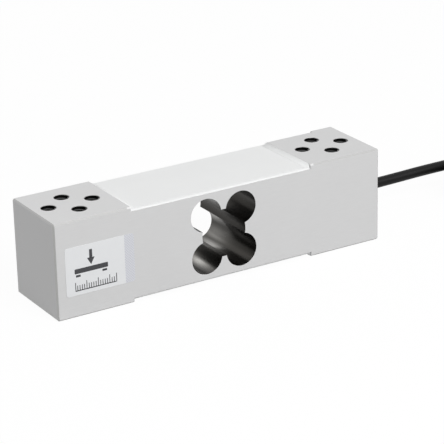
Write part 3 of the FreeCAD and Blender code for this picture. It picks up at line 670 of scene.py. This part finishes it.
def done(piece, material, smooth_angle=40):
    """Back to object mode with normals outward, a finish and a body to ride on."""
    bpy.ops.mesh.select_all(action="SELECT")
    bpy.ops.mesh.normals_make_consistent(inside=False)
    bpy.ops.object.mode_set(mode="OBJECT")
    bpy.ops.object.shade_smooth_by_angle(angle=math.radians(smooth_angle))
    piece.data.materials.clear()
    piece.data.materials.append(material)
    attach(piece, "root")
    print(piece.name, "faces:", len(piece.data.polygons))
    return piece


def copy_moved(piece, name, offset):
    """A copy with its own mesh, moved inside that mesh by an offset in millimetres."""
    twin = piece.copy()
    twin.data = piece.data.copy()
    twin.name = twin.data.name = name
    twin.data.transform(Matrix.Translation(Vector(offset) * MM))
    bpy.context.scene.collection.objects.link(twin)
    return twin


def join(pieces, name):
    """Makes one piece of several."""
    bpy.ops.object.select_all(action="DESELECT")
    for piece in pieces:
        piece.select_set(True)
    bpy.context.view_layer.objects.active = pieces[0]
    bpy.ops.object.join()
    pieces[0].name = pieces[0].data.name = name


# %% [markdown]
# A tapped hole shows as rings of light and dark just below its mouth. A thread is a ridge that
# climbs one pitch in each turn, so its section, a small triangle with its base on the wall, is
# turned round the hole's axis by a Screw modifier. It is made once and then copied into the
# sixteen mouths.

# %% Thread of one hole
THREAD_PITCH, TURNS, STEPS = 1, 14, 24
HOLE_RADIUS, INTO_WALL, SECTION = 3, 0.03, 0.3
# The ridges are the block's aluminium painted nearly black: painted shade in the holes, a little
# lighter than the holes' own painted shade so that the rings still show.
shaded_thread_metal = finish(
    "thread_metal_painted_shade", (0.06, 0.06, 0.06), (0.16, 0.16, 0.157), rough=0.3, metallic=WALL_METALLIC
)

bpy.ops.object.select_all(action="DESELECT")
bpy.ops.mesh.primitive_circle_add(
    vertices=3,
    radius=SECTION * MM,
    location=metres(HOLE_RADIUS + INTO_WALL - SECTION / 2, 0, 0),
    rotation=(math.radians(90), math.radians(-90), 0),
)
thread = start_shaping("thread")
bpy.ops.object.mode_set(mode="OBJECT")
turning = thread.modifiers.new("turning", "SCREW")
turning.axis = "Z"
turning.angle = math.tau
turning.screw_offset = THREAD_PITCH * MM
turning.iterations = TURNS
turning.steps = turning.render_steps = STEPS
turning.use_merge_vertices = False
bpy.ops.object.modifier_apply(modifier="turning")
bpy.ops.object.mode_set(mode="EDIT")
bpy.ops.mesh.select_all(action="DESELECT")
bpy.ops.mesh.select_mode(type="EDGE")
# The two open ends of the ridge are closed with a face each.
bpy.ops.mesh.select_non_manifold(
    extend=False,
    use_wire=False,
    use_multi_face=False,
    use_non_contiguous=False,
    use_verts=False,
)
bpy.ops.mesh.edge_face_add()
ends = [f for f in bmesh.from_edit_mesh(thread.data).faces if len(f.verts) == 3]
print("closed ends:", len(ends))
done(thread, shaded_thread_metal, 30)

# %% Copies in the sixteen mouths
MOUTH_DEPTH = 0.5
bottom_start = MOUTH_DEPTH + SECTION
top_start = BLOCK_HEIGHT - MOUTH_DEPTH - SECTION - THREAD_PITCH * TURNS
for face, start in (("bottom", bottom_start), ("top", top_start)):
    for end, side in (("free_end", -1), ("cable_end", 1)):
        middle = side * DIAMOND_CENTRE
        diamond = [(middle + along, 0) for along in (-DIAMOND_ALONG, DIAMOND_ALONG)]
        diamond += [(middle, across) for across in (-DIAMOND_ACROSS, DIAMOND_ACROSS)]
        ridges = [
            copy_moved(thread, f"thread_{face}_{end}_{n}", (*centre, start))
            for n, centre in enumerate(diamond)
        ]
        join(ridges, f"threads_{face}_{end}")
bpy.data.objects.remove(thread)

# %% [markdown]
# Liquid silicone climbs a wall a little before it sets, so a thin curved edge, a meniscus, runs
# along each step of the recess. Each starts as a bar in the corner. Its outer edge is bevelled
# with a hollow profile, the slope is stretched away from the step, and the two ends are drawn
# down to the corner.

# %% Meniscus of the silicone
STEP_AT, SILICONE_TOP, CLIMB, REACH, HALF_WIDE = 41.5, 38.9, 1.05, 2.3, 16.7
BELOW_TOP, FOOT_LEFT, HOLLOW = 0.1, 0.05, 0.17
TAPER, TAPERED_TO = 1, 0.3


def meniscus(name, side, up):
    """A curved edge against a step: side is -1 or 1 along the block, up is 1 on its top."""
    level = SILICONE_TOP if up > 0 else BLOCK_HEIGHT - SILICONE_TOP
    wall, foot = side * STEP_AT, side * (STEP_AT - CLIMB)
    high, low = level + up * CLIMB, level - up * BELOW_TOP
    bpy.ops.object.select_all(action="DESELECT")
    bpy.ops.mesh.primitive_cube_add(
        size=1,
        location=metres((wall + foot) / 2, 0, (high + low) / 2),
        scale=metres(CLIMB, 2 * HALF_WIDE, CLIMB + BELOW_TOP),
    )
    edge = start_shaping(name)
    pick(edge, "edges", lambda p: abs(p.x - foot) < NEAR and abs(p.z - high) < NEAR)
    bpy.ops.mesh.bevel(offset=(CLIMB - FOOT_LEFT) * MM, segments=6, profile=HOLLOW)
    bpy.ops.mesh.select_all(action="SELECT")
    bpy.ops.transform.resize(
        value=(REACH / CLIMB, 1, 1), center_override=Vector((wall, 0, low)) * MM
    )
    for end in (-1, 1):
        bpy.ops.mesh.select_all(action="SELECT")
        cut_at = metres(0, end * (HALF_WIDE - TAPER), 0)
        bpy.ops.mesh.bisect(plane_co=cut_at, plane_no=(0, 1, 0))
        pick(edge, "faces", lambda p: p.y * end > HALF_WIDE - NEAR)
        corner = Vector((wall, end * HALF_WIDE, low)) * MM
        bpy.ops.transform.resize(value=(TAPERED_TO, 1, TAPERED_TO), center_override=corner)
    done(edge, silicone, 60)


for side, end in ((-1, "free_end"), (1, "cable_end")):
    meniscus(f"silicone_edge_top_{end}", side, 1)
    meniscus(f"silicone_edge_bottom_{end}", side, -1)

# %% [markdown]
# The label is a white film. A pale strip with a fine check closes its right end, as such labels
# often have; two sines, one along the film and one up it, give the check where both agree.

# %% Film of the label
STRIP_FROM, CHECK_PITCH = -45, 1.1
STRIP_TONE, PALE_SHARE, FULL_SHARE = (0.55, 0.56, 0.63), 0.35, 0.8

label_film = finish(
    "printed_label", (0.79, 0.8, 0.815), (0.83, 0.84, 0.85), rough=0.5, bump=0.03, scale=400
)
tree = label_film.node_tree
spot = split(tree, "Object")
waves = [wave(tree, spot[axis], CHECK_PITCH) for axis in "XZ"]
check = calc(tree, "GREATER_THAN", calc(tree, "MULTIPLY", *waves), 0)
on_strip = calc(tree, "GREATER_THAN", spot["X"], STRIP_FROM * MM)
paint(tree, every(tree, on_strip, blend_value(tree, check, PALE_SHARE, FULL_SHARE)), STRIP_TONE)
dress(label_film, "identity_label")

# %% [markdown]
# The print is generic: a bar with an arrow on it, the sign for a load that presses on a beam, and
# under it a plain row of ticks. Ink has almost no thickness, so the marks are very thin plates,
# made from simple shapes, that lie on the film.

# %% Ink
FILM_FACE, INK, INTO_FILM = -17.6, 0.02, 0.01
INK_MIDDLE, INK_DEPTH = FILM_FACE - (INK - INTO_FILM) / 2, INK + INTO_FILM
ROUNDED = 0.15
ink = finish(
    "label_ink", (0.03, 0.03, 0.035), (0.05, 0.05, 0.055), rough=0.55, bump=0.03, scale=1500
)


def plate(name, left, right, low, high):
    """A thin plate of ink on the film, with its corners rounded like printed ones."""
    def at_a_corner(p):
        sideways = min(abs(p.x - left), abs(p.x - right))
        return sideways < NEAR and min(abs(p.z - low), abs(p.z - high)) < NEAR

    bpy.ops.object.select_all(action="DESELECT")
    bpy.ops.mesh.primitive_cube_add(
        size=1,
        location=metres((left + right) / 2, INK_MIDDLE, (low + high) / 2),
        scale=metres(right - left, INK_DEPTH, high - low),
    )
    mark = start_shaping(name)
    pick(mark, "edges", at_a_corner)
    bpy.ops.mesh.bevel(offset=min(right - left, high - low) * ROUNDED * MM, segments=2)
    return done(mark, ink)


# %% Sign for the load
ARROW_AT, STEM_HALF_WIDE, HEAD_UP, HEAD_RADIUS = -59.75, 0.65, 22.6, 1.9
FEET, FOOT_HALF_LONG = (-65.5, -54), 1

bar = plate("sign_bar", -67, -52.5, 18, 20)
stem = plate("sign_stem", ARROW_AT - STEM_HALF_WIDE, ARROW_AT + STEM_HALF_WIDE, 23.4, 26.9)
bpy.ops.object.select_all(action="DESELECT")
bpy.ops.mesh.primitive_cylinder_add(
    vertices=3,
    radius=HEAD_RADIUS * MM,
    depth=INK_DEPTH * MM,
    location=metres(ARROW_AT, INK_MIDDLE, HEAD_UP),
    rotation=(math.radians(-90), 0, 0),
)
head = done(start_shaping("sign_head"), ink)
feet = [
    plate(f"sign_foot_{n}", x - FOOT_HALF_LONG, x + FOOT_HALF_LONG, 16.6, 17.5)
    for n, x in enumerate(FEET)
]
join([bar, stem, head, *feet], "label_sign")

# %% Row of ticks
TICKS, TICK_WIDTH, LONG_TICK, SHORT_TICK, LONG_EVERY = 19, 0.32, 3.4, 2.1, 5
ROW_LEFT, LINE_LOW, LINE_HIGH, TICKS_LOW = -67, 10.8, 11.2, 11.1

ticks = [plate("tick_line", ROW_LEFT, ROW_LEFT + TICKS - 1, LINE_LOW, LINE_HIGH)]
for n in range(TICKS):
    tall = LONG_TICK if n % LONG_EVERY == 0 or n == TICKS - 1 else SHORT_TICK
    # The first tick starts where the line does; the others stand astride their millimetre.
    left = ROW_LEFT + n - (TICK_WIDTH / 2 if n else 0)
    ticks.append(plate(f"tick_{n}", left, left + TICK_WIDTH, TICKS_LOW, TICKS_LOW + tall))
join(ticks, "label_ticks")
